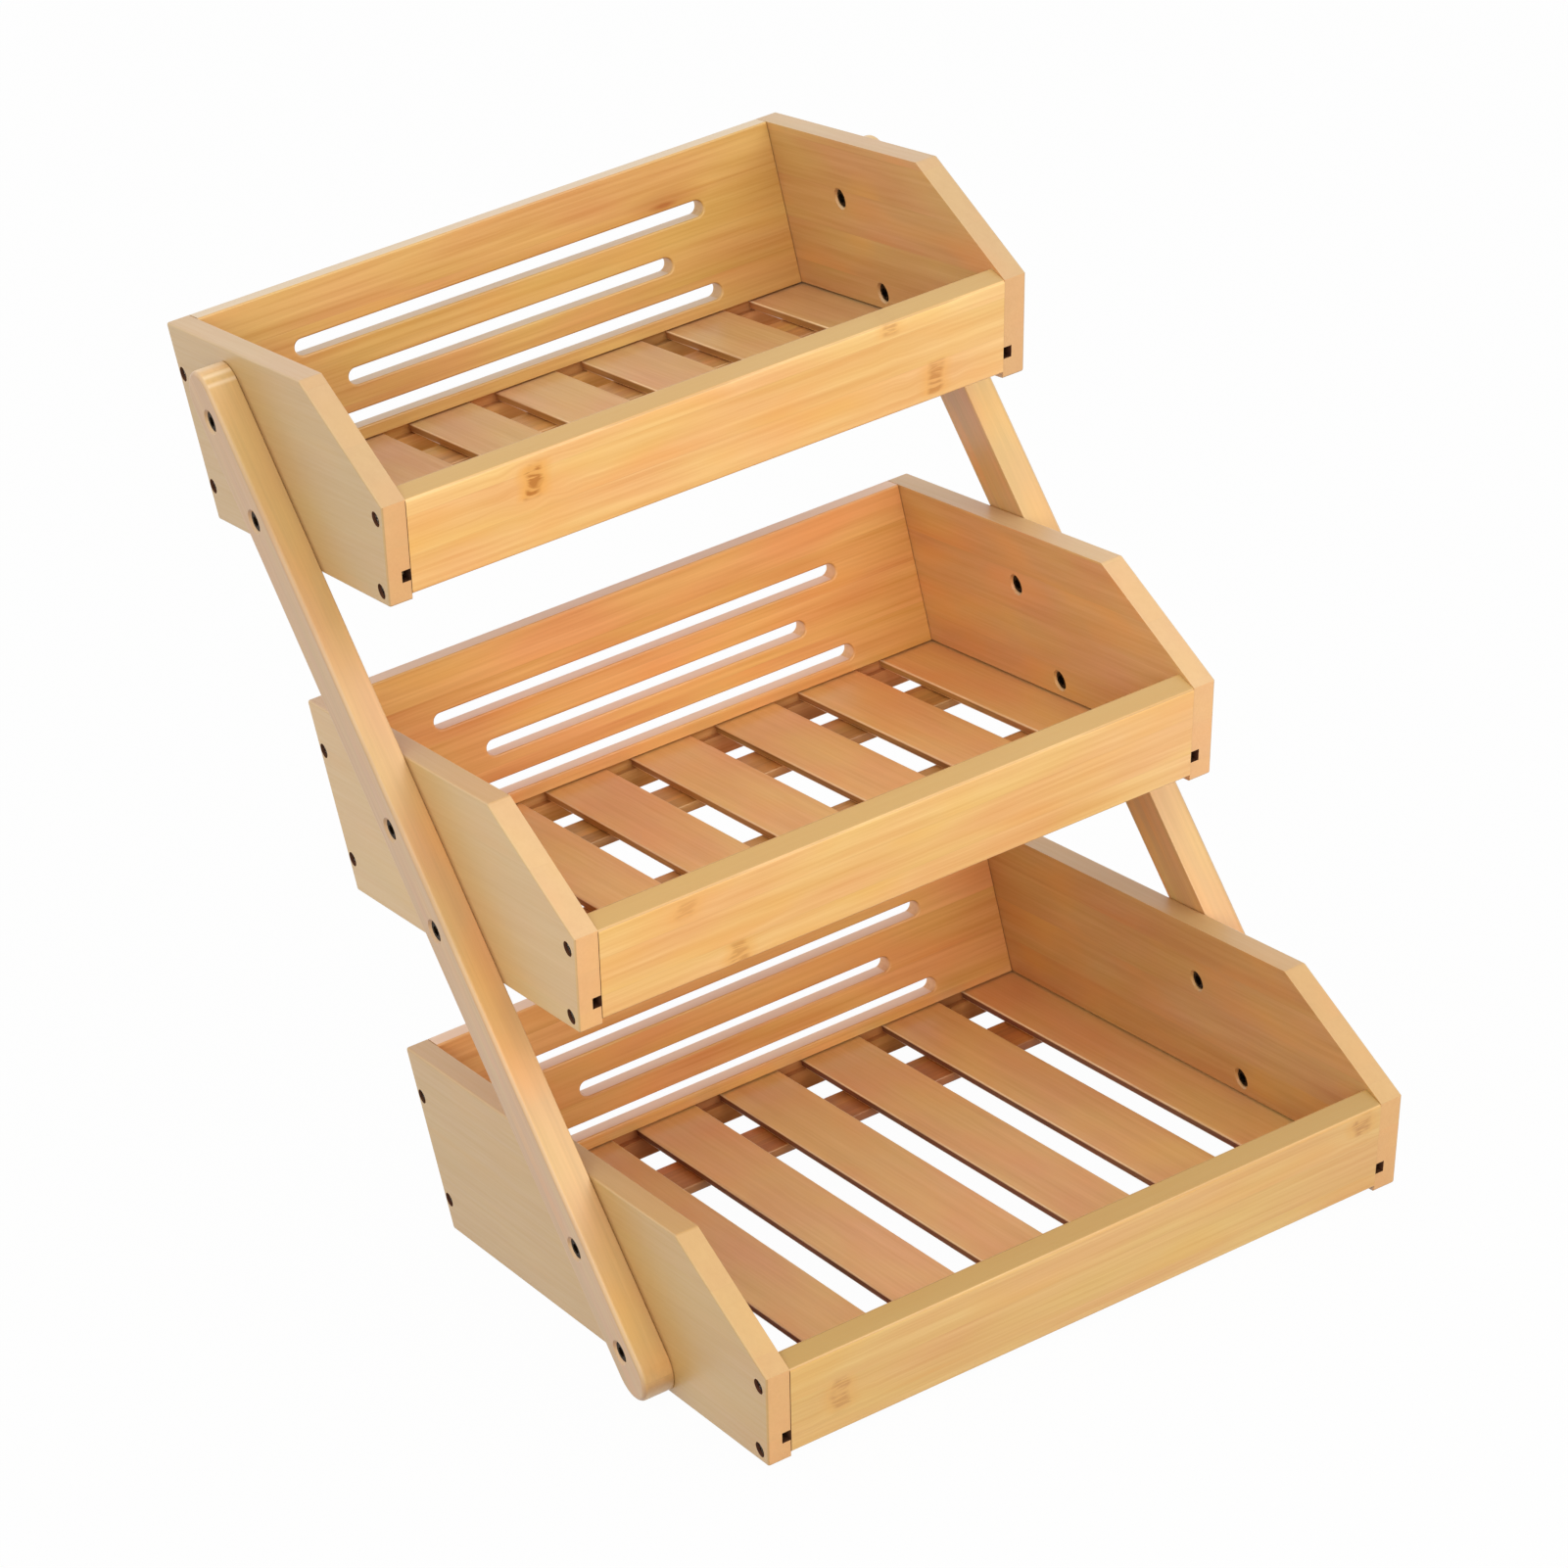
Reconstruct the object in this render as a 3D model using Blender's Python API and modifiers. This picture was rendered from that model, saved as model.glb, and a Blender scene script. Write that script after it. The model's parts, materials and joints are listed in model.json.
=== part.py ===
# Three-tier bamboo fruit stand: three open trays bolted between two leaning flat arms.
# Metres, +Z up, open front towards -Y, origin on the ground under the middle of the stand.

import math

import bmesh
import bpy
from mathutils import Matrix

# Tray boards
TRAY_WIDTH = 0.300
BOARD_THICKNESS = 0.0105
SIDE_HEIGHT = 0.090
TOP_EDGE_SETBACK = 0.039
LIP_HEIGHT = 0.047
LIP_REACH = 0.020
FRONT_LIFT = 0.002
BOARD_EASE = 0.0008

# Tray depths, and how far back and up the two higher trays stand
LOWER_DEPTH = 0.306
MIDDLE_DEPTH = 0.2265
UPPER_DEPTH = 0.187
MIDDLE_BACK = 0.088
UPPER_BACK = 0.181
MIDDLE_UP = 0.164
UPPER_UP = 0.3265

# Slatted floor
SLAT_COUNT = 7
SLAT_WIDTH = 0.030
SLAT_THICKNESS = 0.0042
SLAT_EASE = 0.0006
FLOOR_HEIGHT = 0.0139
GROOVE_DEPTH = 0.004
CROSSBAR_WIDTH = 0.028
CROSSBAR_THICKNESS = 0.004
LOWER_FRONT_CROSSBAR_SETBACK = 0.030
LOWER_REAR_CROSSBAR_SETBACK = 0.034
MIDDLE_FRONT_CROSSBAR_SETBACK = 0.059
MIDDLE_REAR_CROSSBAR_SETBACK = 0.032
UPPER_FRONT_CROSSBAR_SETBACK = 0.032
UPPER_REAR_CROSSBAR_SETBACK = 0.029

# Slots through the back boards: two long ones and a shorter one between
SLOT_HEIGHT = 0.0074
LONG_SLOT_LENGTH = 0.201
SHORT_SLOT_LENGTH = 0.160
TOP_SLOT_LEVEL = 0.0628
MIDDLE_SLOT_LEVEL = 0.0426
BOTTOM_SLOT_LEVEL = 0.0240

# Arms
ARM_WIDTH = 0.0264
ARM_THICKNESS = 0.0140
ARM_EASE = 0.0022
ARM_FOOT_SETBACK = 0.083
ARM_TILT = math.radians(29.2)
ARM_FOOT_LIFT = 0.0015
ARM_HEAD_RISE = 0.0835

# Bolts, each with its sleeve nut
LOW_BOLT_LEVEL = 0.0222
HIGH_BOLT_LEVEL = 0.0622
BOLT_HEAD_RADIUS = 0.0042
BOLT_HEAD_THICKNESS = 0.0030
BOLT_SHANK_RADIUS = 0.0030
BOLT_SLEEVE_RADIUS = 0.0038
BOLT_RECESS = 0.0008
BOLT_RIM_CHAMFER = 0.0008
BOLT_EASE = 0.0004
SOCKET_RADIUS = 0.0024
SOCKET_DEPTH = 0.0022

# Seats for the wood screws that hold front and back boards, and how far into those
# boards' thickness, from their outer faces, the screws run
SCREW_SEAT_RADIUS = 0.0034
SCREW_SEAT_DEPTH = 0.0012
LOW_FRONT_SCREW_LEVEL = 0.0062
HIGH_FRONT_SCREW_LEVEL = 0.0404
LOW_BACK_SCREW_LEVEL = 0.0161
HIGH_BACK_SCREW_LEVEL = 0.0674
FRONT_SCREW_SHARE = 0.62
BACK_SCREW_SHARE = 0.45

# Gap left between touching pieces, and how far cutters run past what they cut
FIT = 0.0003
OVERRUN = 0.002
WELD = 0.00001

ARC_STEPS = 12
HOLE_SIDES = 16
BOLT_SIDES = 16
SOCKET_SIDES = 6
BOARD_EASE_STEPS = 2
ARM_EASE_STEPS = 3
EASE_ANGLE = math.radians(20)
SMOOTH_ANGLE = math.radians(35)

# Worked out from the sizes above
HALF_WIDTH = TRAY_WIDTH / 2
INNER_HALF_WIDTH = HALF_WIDTH - BOARD_THICKNESS
LEAN = math.atan2(LIP_REACH, LIP_HEIGHT)
PANEL_SLANT = BOARD_THICKNESS / math.cos(LEAN)
SLAT_BOTTOM = FLOOR_HEIGHT - SLAT_THICKNESS
ORIGIN_BACK = (UPPER_BACK + UPPER_DEPTH - LIP_REACH) / 2
SLAT_SPREAD = 2 * (INNER_HALF_WIDTH + GROOVE_DEPTH - FIT) - SLAT_WIDTH
SLAT_PITCH = SLAT_SPREAD / (SLAT_COUNT - 1)

SIDES = {"left": -1, "right": 1}

TRAYS = {
    "lower": {
        "depth": LOWER_DEPTH,
        "back": 0.0,
        "up": 0.0,
        "front_setback": LOWER_FRONT_CROSSBAR_SETBACK,
        "rear_setback": LOWER_REAR_CROSSBAR_SETBACK,
    },
    "middle": {
        "depth": MIDDLE_DEPTH,
        "back": MIDDLE_BACK,
        "up": MIDDLE_UP,
        "front_setback": MIDDLE_FRONT_CROSSBAR_SETBACK,
        "rear_setback": MIDDLE_REAR_CROSSBAR_SETBACK,
    },
    "upper": {
        "depth": UPPER_DEPTH,
        "back": UPPER_BACK,
        "up": UPPER_UP,
        "front_setback": UPPER_FRONT_CROSSBAR_SETBACK,
        "rear_setback": UPPER_REAR_CROSSBAR_SETBACK,
    },
}

# Local X, Y and Z become world Y, Z and X for a board seen from the side
SIDE_ON = (math.pi / 2, 0, math.pi / 2)
# Local X, Y and Z become world X, Z and -Y for a board seen from the front
FACE_ON = (math.pi / 2, 0, 0)


def start_scene():
    for item in list(bpy.data.objects):
        bpy.data.objects.remove(item, do_unlink=True)
    scene = bpy.context.scene
    for name in ("fruit_stand", "cutters"):
        group = bpy.data.collections.new(name)
        scene.collection.children.link(group)
    bpy.data.collections["cutters"].hide_render = True


def linear(channel):
    if channel <= 0.04045:
        return channel / 12.92
    return ((channel + 0.055) / 1.055) ** 2.4


def material(name, red, green, blue, roughness, metallic=0.0):
    """A Principled material from a colour given as 0 to 255 steps on screen."""
    made = bpy.data.materials.new(name)
    made.use_nodes = True
    shader = made.node_tree.nodes["Principled BSDF"]
    colour = [linear(step / 255) for step in (red, green, blue)]
    shader.inputs["Base Color"].default_value = (*colour, 1)
    shader.inputs["Roughness"].default_value = roughness
    shader.inputs["Metallic"].default_value = metallic
    made.diffuse_color = (*colour, 1)
    return made


def add_object(name, mesh, group="fruit_stand", look=None):
    made = bpy.data.objects.new(name, mesh)
    bpy.data.collections[group].objects.link(made)
    if look is not None and not mesh.materials:
        mesh.materials.append(look)
    return made


def place(item, location, rotation=(0, 0, 0)):
    item.location = location
    item.rotation_euler = rotation
    return item


def box_mesh(name, width, depth, height):
    mesh = bpy.data.meshes.new(name)
    shape = bmesh.new()
    bmesh.ops.create_cube(shape, size=1, matrix=Matrix.Diagonal((width, depth, height, 1)))
    shape.to_mesh(mesh)
    shape.free()
    return mesh


def cylinder_mesh(name, radius, bottom, top, sides):
    mesh = bpy.data.meshes.new(name)
    shape = bmesh.new()
    middle = Matrix.Translation((0, 0, (bottom + top) / 2))
    bmesh.ops.create_cone(shape, cap_ends=True, segments=sides, radius1=radius,
                          radius2=radius, depth=top - bottom, matrix=middle)
    shape.to_mesh(mesh)
    shape.free()
    return mesh


def bake(item):
    """The object's evaluated mesh, welded, with flat caps as single faces."""
    bpy.context.view_layer.update()
    graph = bpy.context.evaluated_depsgraph_get()
    mesh = bpy.data.meshes.new_from_object(item.evaluated_get(graph))
    shape = bmesh.new()
    shape.from_mesh(mesh)
    bmesh.ops.remove_doubles(shape, verts=shape.verts, dist=WELD)
    bmesh.ops.dissolve_limit(shape, angle_limit=math.radians(1), verts=shape.verts, edges=shape.edges)
    shape.to_mesh(mesh)
    shape.free()
    mesh.materials.clear()
    bpy.data.objects.remove(item, do_unlink=True)
    return mesh


def outline_mesh(name, points, thickness):
    """A flat outline in local X and Y, thickened evenly along local Z."""
    curve = bpy.data.curves.new(name, "CURVE")
    curve.dimensions = "2D"
    curve.fill_mode = "BOTH"
    curve.extrude = thickness / 2
    line = curve.splines.new("POLY")
    line.points.add(len(points) - 1)
    for point, (across, along) in zip(line.points, points):
        point.co = (across, along, 0, 1)
    line.use_cyclic_u = True
    return bake(add_object(name, curve, "cutters"))


def arc(centre_across, centre_along, radius, start, turn):
    """Points along a round end, from the start angle through the turn."""
    angles = [start + turn * step / ARC_STEPS for step in range(ARC_STEPS + 1)]
    return [(centre_across + radius * math.cos(angle), centre_along + radius * math.sin(angle))
            for angle in angles]


def turned_mesh(name, profile, sides):
    """A profile of radius and height, from the top of the axis down to its foot, turned about Z."""
    mesh = bpy.data.meshes.new(name)
    links = [(step, step + 1) for step in range(len(profile) - 1)]
    mesh.from_pydata([(radius, 0, height) for radius, height in profile], links, [])
    item = add_object(name, mesh, "cutters")
    screw = item.modifiers.new("turn", "SCREW")
    screw.axis = "Z"
    screw.steps = sides
    screw.render_steps = sides
    screw.use_merge_vertices = True
    screw.merge_threshold = WELD
    return bake(item)


def ease(item, width, steps):
    """Softens the long edges that a sanded board has."""
    bevel = item.modifiers.new("ease", "BEVEL")
    bevel.width = width
    bevel.segments = steps
    bevel.limit_method = "ANGLE"
    bevel.angle_limit = EASE_ANGLE


def cutter(name, mesh, location, rotation=(0, 0, 0)):
    item = add_object(name, mesh, "cutters")
    item.hide_render = True
    item.display_type = "WIRE"
    return place(item, location, rotation)


def cut(item, tool):
    trim = item.modifiers.new(tool.name, "BOOLEAN")
    trim.operation = "DIFFERENCE"
    trim.solver = "EXACT"
    trim.object = tool


def smooth(mesh):
    mesh.shade_smooth()
    mesh.set_sharp_from_angle(angle=SMOOTH_ANGLE)


def tray_point(tray, across, back, up):
    """World place of a point given from the middle of a tray's front foot."""
    return (across, tray["back"] + back - ORIGIN_BACK, tray["up"] + up)


def lean_point(along, inward):
    """Back and up of a point that lies along the leaning front and inward from its face."""
    back = inward * math.cos(LEAN) - along * math.sin(LEAN)
    up = inward * math.sin(LEAN) + along * math.cos(LEAN)
    return back, up


def outward(side):
    """Turns local Z away from the stand on this side."""
    return (0, side * math.pi / 2, 0)


def arm_back(level):
    """How far back the arms' centre line is at a level, from the lower tray's front foot."""
    return ARM_FOOT_SETBACK + level * math.tan(ARM_TILT)


def bolt_points(tray):
    """Name, and back and up within the tray, of the two bolts on each side."""
    points = {}
    for name, level in (("low", LOW_BOLT_LEVEL), ("high", HIGH_BOLT_LEVEL)):
        points[name] = (arm_back(tray["up"] + level) - tray["back"], level)
    return points


def screw_points(tray):
    """Back and up within the tray of the four wood screws on each side."""
    board_line = PANEL_SLANT * FRONT_SCREW_SHARE
    back_line = tray["depth"] - BOARD_THICKNESS * BACK_SCREW_SHARE
    return (
        (board_line - LOW_FRONT_SCREW_LEVEL * math.tan(LEAN), LOW_FRONT_SCREW_LEVEL),
        (board_line - HIGH_FRONT_SCREW_LEVEL * math.tan(LEAN), HIGH_FRONT_SCREW_LEVEL),
        (back_line, LOW_BACK_SCREW_LEVEL),
        (back_line, HIGH_BACK_SCREW_LEVEL),
    )


def side_outline(depth):
    return [(0, 0), (depth, 0), (depth, SIDE_HEIGHT), (TOP_EDGE_SETBACK, SIDE_HEIGHT),
            (-LIP_REACH, LIP_HEIGHT)]


def add_side(name, tray, side, look, tools):
    mesh = outline_mesh(name, side_outline(tray["depth"]), BOARD_THICKNESS)
    board = add_object(name, mesh, look=look)
    middle = side * (HALF_WIDTH - BOARD_THICKNESS / 2)
    place(board, tray_point(tray, middle, 0, 0), SIDE_ON)
    ease(board, BOARD_EASE, BOARD_EASE_STEPS)
    length = tray["depth"] + LIP_REACH + 2 * OVERRUN
    groove = box_mesh(name + "_groove", 2 * GROOVE_DEPTH, length, SLAT_THICKNESS + 2 * FIT)
    centre = tray_point(tray, side * INNER_HALF_WIDTH, length / 2 - LIP_REACH - OVERRUN,
                        SLAT_BOTTOM + SLAT_THICKNESS / 2)
    cut(board, cutter(name + "_groove", groove, centre))
    for key, (back, up) in bolt_points(tray).items():
        place_at = tray_point(tray, side * HALF_WIDTH, back, up)
        cut(board, cutter(name + "_" + key, tools["sleeve_hole"], place_at, outward(side)))
    for number, (back, up) in enumerate(screw_points(tray), 1):
        place_at = tray_point(tray, side * HALF_WIDTH, back, up)
        cut(board, cutter(f"{name}_seat_{number}", tools["screw_seat"], place_at, outward(side)))


def cross_groove(name, tray, middle, depth):
    """Cutter for the groove that the slats' ends enter, right across a front or back board."""
    groove = box_mesh(name, TRAY_WIDTH, depth, SLAT_THICKNESS + 2 * FIT)
    return cutter(name, groove, tray_point(tray, 0, middle, SLAT_BOTTOM + SLAT_THICKNESS / 2))


def slot_outline(length):
    reach = (length - SLOT_HEIGHT) / 2
    radius = SLOT_HEIGHT / 2
    return (arc(reach, 0, radius, -math.pi / 2, math.pi)
            + arc(-reach, 0, radius, math.pi / 2, math.pi))


def add_back(name, tray, look):
    width = 2 * (INNER_HALF_WIDTH - FIT)
    board = add_object(name, box_mesh(name, width, BOARD_THICKNESS, SIDE_HEIGHT), look=look)
    middle = tray["depth"] - BOARD_THICKNESS / 2
    place(board, tray_point(tray, 0, middle, SIDE_HEIGHT / 2))
    ease(board, BOARD_EASE, BOARD_EASE_STEPS)
    inner_face = tray["depth"] - BOARD_THICKNESS
    cut(board, cross_groove(name + "_groove", tray, inner_face, 2 * GROOVE_DEPTH))
    slots = ((LONG_SLOT_LENGTH, TOP_SLOT_LEVEL), (SHORT_SLOT_LENGTH, MIDDLE_SLOT_LEVEL),
             (LONG_SLOT_LENGTH, BOTTOM_SLOT_LEVEL))
    for number, (length, level) in enumerate(slots, 1):
        key = f"{name}_slot_{number}"
        mesh = outline_mesh(key, slot_outline(length), BOARD_THICKNESS + 2 * OVERRUN)
        cut(board, cutter(key, mesh, tray_point(tray, 0, middle, level), FACE_ON))


def add_front(name, tray, look):
    width = 2 * (INNER_HALF_WIDTH - FIT)
    height = math.hypot(LIP_REACH, LIP_HEIGHT) - FRONT_LIFT / math.cos(LEAN)
    board = add_object(name, box_mesh(name, width, BOARD_THICKNESS, height), look=look)
    back, up = lean_point(FRONT_LIFT / math.cos(LEAN) + height / 2, BOARD_THICKNESS / 2)
    place(board, tray_point(tray, 0, back, up), (LEAN, 0, 0))
    ease(board, BOARD_EASE, BOARD_EASE_STEPS)
    inner_face = floor_front(SLAT_BOTTOM)
    cut(board, cross_groove(name + "_groove", tray, inner_face, 2 * GROOVE_DEPTH))


def floor_front(level):
    """How far back the front board's rear face is at a level."""
    return PANEL_SLANT - level * math.tan(LEAN)


def add_floor(tray_name, tray, slat_look, bar_look):
    front = floor_front(SLAT_BOTTOM) - GROOVE_DEPTH + FIT
    back = tray["depth"] - BOARD_THICKNESS + GROOVE_DEPTH - FIT
    slat = box_mesh(f"{tray_name}_slat", SLAT_WIDTH, back - front, SLAT_THICKNESS)
    middle_up = SLAT_BOTTOM + SLAT_THICKNESS / 2
    for number in range(SLAT_COUNT):
        item = add_object(f"{tray_name}_tray_slat_{number + 1}", slat, look=slat_look)
        across = number * SLAT_PITCH - SLAT_SPREAD / 2
        place(item, tray_point(tray, across, (front + back) / 2, middle_up))
        ease(item, SLAT_EASE, 1)
    bar = box_mesh(f"{tray_name}_crossbar", 2 * (INNER_HALF_WIDTH - FIT), CROSSBAR_WIDTH,
                   CROSSBAR_THICKNESS)
    bar_up = SLAT_BOTTOM - FIT - CROSSBAR_THICKNESS / 2
    bars = {
        "front": floor_front(SLAT_BOTTOM) + tray["front_setback"] + CROSSBAR_WIDTH / 2,
        "rear": tray["depth"] - BOARD_THICKNESS - tray["rear_setback"] - CROSSBAR_WIDTH / 2,
    }
    for key, bar_back in bars.items():
        item = add_object(f"{tray_name}_tray_{key}_crossbar", bar, look=bar_look)
        place(item, tray_point(tray, 0, bar_back, bar_up))
        ease(item, SLAT_EASE, 1)


def arm_outline():
    """A long flat bar with half-round ends, drawn upright along local Y from the foot's round centre."""
    radius = ARM_WIDTH / 2
    rise = UPPER_UP + ARM_HEAD_RISE - ARM_WIDTH - ARM_FOOT_LIFT
    length = rise / math.cos(ARM_TILT)
    return arc(0, length, radius, 0, math.pi) + arc(0, 0, radius, math.pi, math.pi)


def add_arm(name, side, look, tools):
    arm = add_object(name, outline_mesh(name, arm_outline(), ARM_THICKNESS), look=look)
    smooth(arm.data)
    foot_level = ARM_FOOT_LIFT + ARM_WIDTH / 2
    middle = side * (HALF_WIDTH + FIT + ARM_THICKNESS / 2)
    lower = TRAYS["lower"]
    turn = Matrix.Rotation(-ARM_TILT, 4, "X") @ Matrix.Rotation(math.pi / 2, 4, "Z") \
        @ Matrix.Rotation(math.pi / 2, 4, "X")
    place(arm, tray_point(lower, middle, arm_back(foot_level), foot_level), turn.to_euler())
    ease(arm, ARM_EASE, ARM_EASE_STEPS)
    for tray_name, tray in TRAYS.items():
        for key, (back, up) in bolt_points(tray).items():
            place_at = tray_point(tray, side * HALF_WIDTH, back, up)
            tool = cutter(f"{name}_{tray_name}_{key}", tools["arm_hole"], place_at, outward(side))
            cut(arm, tool)


def bolt_head_levels():
    """Heights of the head's face and underside above the tray side's outer face."""
    face = FIT + ARM_THICKNESS - BOLT_RECESS
    return face, face - BOLT_HEAD_THICKNESS


def bolt_mesh():
    """Head, shank and sleeve nut on one axis, with a hexagon socket in each end."""
    face, underside = bolt_head_levels()
    tail = BOLT_RECESS - BOARD_THICKNESS
    profile = [
        (0, face),
        (BOLT_HEAD_RADIUS - BOLT_EASE, face),
        (BOLT_HEAD_RADIUS, face - BOLT_EASE),
        (BOLT_HEAD_RADIUS, underside),
        (BOLT_SHANK_RADIUS, underside),
        (BOLT_SHANK_RADIUS, 0),
        (BOLT_SLEEVE_RADIUS, 0),
        (BOLT_SLEEVE_RADIUS, tail + BOLT_EASE),
        (BOLT_SLEEVE_RADIUS - BOLT_EASE, tail),
        (0, tail),
    ]
    item = add_object("bolt", turned_mesh("bolt_body", profile, BOLT_SIDES), "cutters")
    sockets = []
    for end, (bottom, top) in {
        "outer": (face - SOCKET_DEPTH, face + OVERRUN),
        "inner": (tail - OVERRUN, tail + SOCKET_DEPTH),
    }.items():
        mesh = cylinder_mesh(end + "_socket", SOCKET_RADIUS, bottom, top, SOCKET_SIDES)
        sockets.append(cutter(end + "_socket", mesh, (0, 0, 0)))
        cut(item, sockets[-1])
    mesh = bake(item)
    for socket in sockets:
        bpy.data.objects.remove(socket, do_unlink=True)
    smooth(mesh)
    return mesh


def make_tools():
    """Meshes of the cutters that repeat, each along the bolt's or screw's own axis."""
    face, underside = bolt_head_levels()
    arm_face = face + BOLT_RECESS
    rim = BOLT_RIM_CHAMFER + OVERRUN
    arm_hole = [
        (0, arm_face + OVERRUN),
        (BOLT_HEAD_RADIUS + FIT + rim, arm_face + OVERRUN),
        (BOLT_HEAD_RADIUS + FIT, arm_face - BOLT_RIM_CHAMFER),
        (BOLT_HEAD_RADIUS + FIT, underside - FIT),
        (BOLT_SHANK_RADIUS + FIT, underside - FIT),
        (BOLT_SHANK_RADIUS + FIT, -OVERRUN),
        (0, -OVERRUN),
    ]
    sleeve_hole = [
        (0, OVERRUN),
        (BOLT_SLEEVE_RADIUS + FIT, OVERRUN),
        (BOLT_SLEEVE_RADIUS + FIT, BOLT_RIM_CHAMFER - BOARD_THICKNESS),
        (BOLT_SLEEVE_RADIUS + FIT + rim, -BOARD_THICKNESS - OVERRUN),
        (0, -BOARD_THICKNESS - OVERRUN),
    ]
    return {
        "arm_hole": turned_mesh("arm_hole", arm_hole, HOLE_SIDES),
        "sleeve_hole": turned_mesh("sleeve_hole", sleeve_hole, HOLE_SIDES),
        "screw_seat": cylinder_mesh("screw_seat", SCREW_SEAT_RADIUS, -SCREW_SEAT_DEPTH, OVERRUN,
                                    HOLE_SIDES),
    }


def add_bolts(tray_name, tray, mesh, look):
    for side_name, side in SIDES.items():
        for key, (back, up) in bolt_points(tray).items():
            item = add_object(f"{tray_name}_tray_{side_name}_{key}_bolt", mesh, look=look)
            place(item, tray_point(tray, side * HALF_WIDTH, back, up), outward(side))


def build():
    start_scene()
    side_look = material("bamboo_side_boards", 214, 176, 132, 0.55)
    back_look = material("bamboo_back_boards", 214, 152, 84, 0.55)
    front_look = material("bamboo_front_boards", 239, 192, 120, 0.5)
    slat_look = material("bamboo_slats", 201, 149, 96, 0.6)
    bar_look = material("bamboo_crossbars", 166, 108, 60, 0.65)
    arm_look = material("bamboo_arms", 222, 180, 124, 0.5)
    steel = material("dark_steel", 62, 54, 46, 0.4, 0.9)
    tools = make_tools()
    bolt = bolt_mesh()
    for tray_name, tray in TRAYS.items():
        for side_name, side in SIDES.items():
            add_side(f"{tray_name}_tray_{side_name}_side", tray, side, side_look, tools)
        add_back(f"{tray_name}_tray_back", tray, back_look)
        add_front(f"{tray_name}_tray_front", tray, front_look)
        add_floor(tray_name, tray, slat_look, bar_look)
        add_bolts(tray_name, tray, bolt, steel)
    for side_name, side in SIDES.items():
        add_arm(f"{side_name}_arm", side, arm_look, tools)


build()
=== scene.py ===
import json
import math

import bmesh
import bpy
from mathutils import Matrix, Vector

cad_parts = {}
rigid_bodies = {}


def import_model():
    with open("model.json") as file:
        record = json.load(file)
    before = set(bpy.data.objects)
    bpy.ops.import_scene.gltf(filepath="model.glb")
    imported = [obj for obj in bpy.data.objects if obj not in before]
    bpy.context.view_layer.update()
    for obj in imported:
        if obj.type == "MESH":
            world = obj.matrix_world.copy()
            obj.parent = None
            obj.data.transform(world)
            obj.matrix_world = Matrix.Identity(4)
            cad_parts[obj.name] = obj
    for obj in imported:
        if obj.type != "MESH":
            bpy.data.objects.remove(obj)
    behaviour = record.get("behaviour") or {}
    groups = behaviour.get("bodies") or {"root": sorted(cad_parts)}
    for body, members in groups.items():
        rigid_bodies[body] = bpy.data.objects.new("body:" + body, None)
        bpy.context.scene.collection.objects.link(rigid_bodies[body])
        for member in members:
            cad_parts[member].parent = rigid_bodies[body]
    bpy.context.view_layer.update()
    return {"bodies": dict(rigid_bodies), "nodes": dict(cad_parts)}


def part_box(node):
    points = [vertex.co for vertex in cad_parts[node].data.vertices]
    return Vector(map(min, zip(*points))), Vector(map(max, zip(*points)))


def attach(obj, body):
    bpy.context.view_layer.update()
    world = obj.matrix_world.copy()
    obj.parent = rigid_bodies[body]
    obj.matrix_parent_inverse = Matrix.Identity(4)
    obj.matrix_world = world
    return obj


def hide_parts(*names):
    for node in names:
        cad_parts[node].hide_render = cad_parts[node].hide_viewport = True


# Three-tier bamboo fruit stand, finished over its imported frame.
# Metres, Z up. The trays open towards -Y, and X runs from the left side to the right.

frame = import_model()
body = next(iter(frame["bodies"]))
bpy.ops.object.select_all(action="DESELECT")
print("frame loaded:", len(frame["nodes"]), "nodes")

trays = ("lower", "middle", "upper")
boardThickness = 0.0105
outerFace = -0.150                     # the left side boards' outer faces
slatLow, slatHigh = 0.0097, 0.0139     # a slat's faces over its tray's foot
frontLean = math.atan2(0.020, 0.047)   # the front boards lean out over 20 mm in 47 mm
alongFront = Vector((0, -math.sin(frontLean), math.cos(frontLean)))
frontNormal = Vector((0, -math.cos(frontLean), -math.sin(frontLean)))
chamferNormal = Vector((0, -0.043, 0.059)).normalized()   # the side boards' cut top corners
armTilt = math.radians(29.2)           # the arms lean back from upright
alongArm = Vector((0, math.sin(armTilt), math.cos(armTilt)))
acrossArm = Vector((0, math.cos(armTilt), -math.sin(armTilt)))
armFront = -0.09265                    # their front edge, measured square to the tilt
armMiddle = 0.1913                     # their middle, measured along it
near, touching = 0.0001, 0.00001       # how close a place has to be to count
past = 0.002                           # how far a cutter reaches past its piece


def paint(code):
    # an sRGB hex value as the linear colour that a socket takes
    steps = [int(code[place:place + 2], 16) / 255 for place in (1, 3, 5)]
    return [s / 12.92 if s <= 0.04045 else ((s + 0.055) / 1.055) ** 2.4 for s in steps] + [1]


def startMaterial(name):
    material = bpy.data.materials.new(name)
    material.use_nodes = True
    return material, material.node_tree, material.node_tree.nodes["Principled BSDF"]


def addNode(tree, kind, feeds=(), out=0, **settings):
    # feeds gives each socket a value or another node's output; the new node's output comes back
    node = tree.nodes.new("ShaderNode" + kind)
    for key, value in settings.items():
        setattr(node, key, value)
    for key, value in dict(feeds).items():
        if isinstance(value, bpy.types.NodeSocket):
            tree.links.new(value, node.inputs[key])
        else:
            node.inputs[key].default_value = value
    return node.outputs[out]


def grainTurn(along, across):
    # the turn that lays X along the fibres, Y across the strips and Z through the board
    along, across = Vector(along).normalized(), Vector(across).normalized()
    return Matrix((along, across, along.cross(across))).to_euler()


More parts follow.
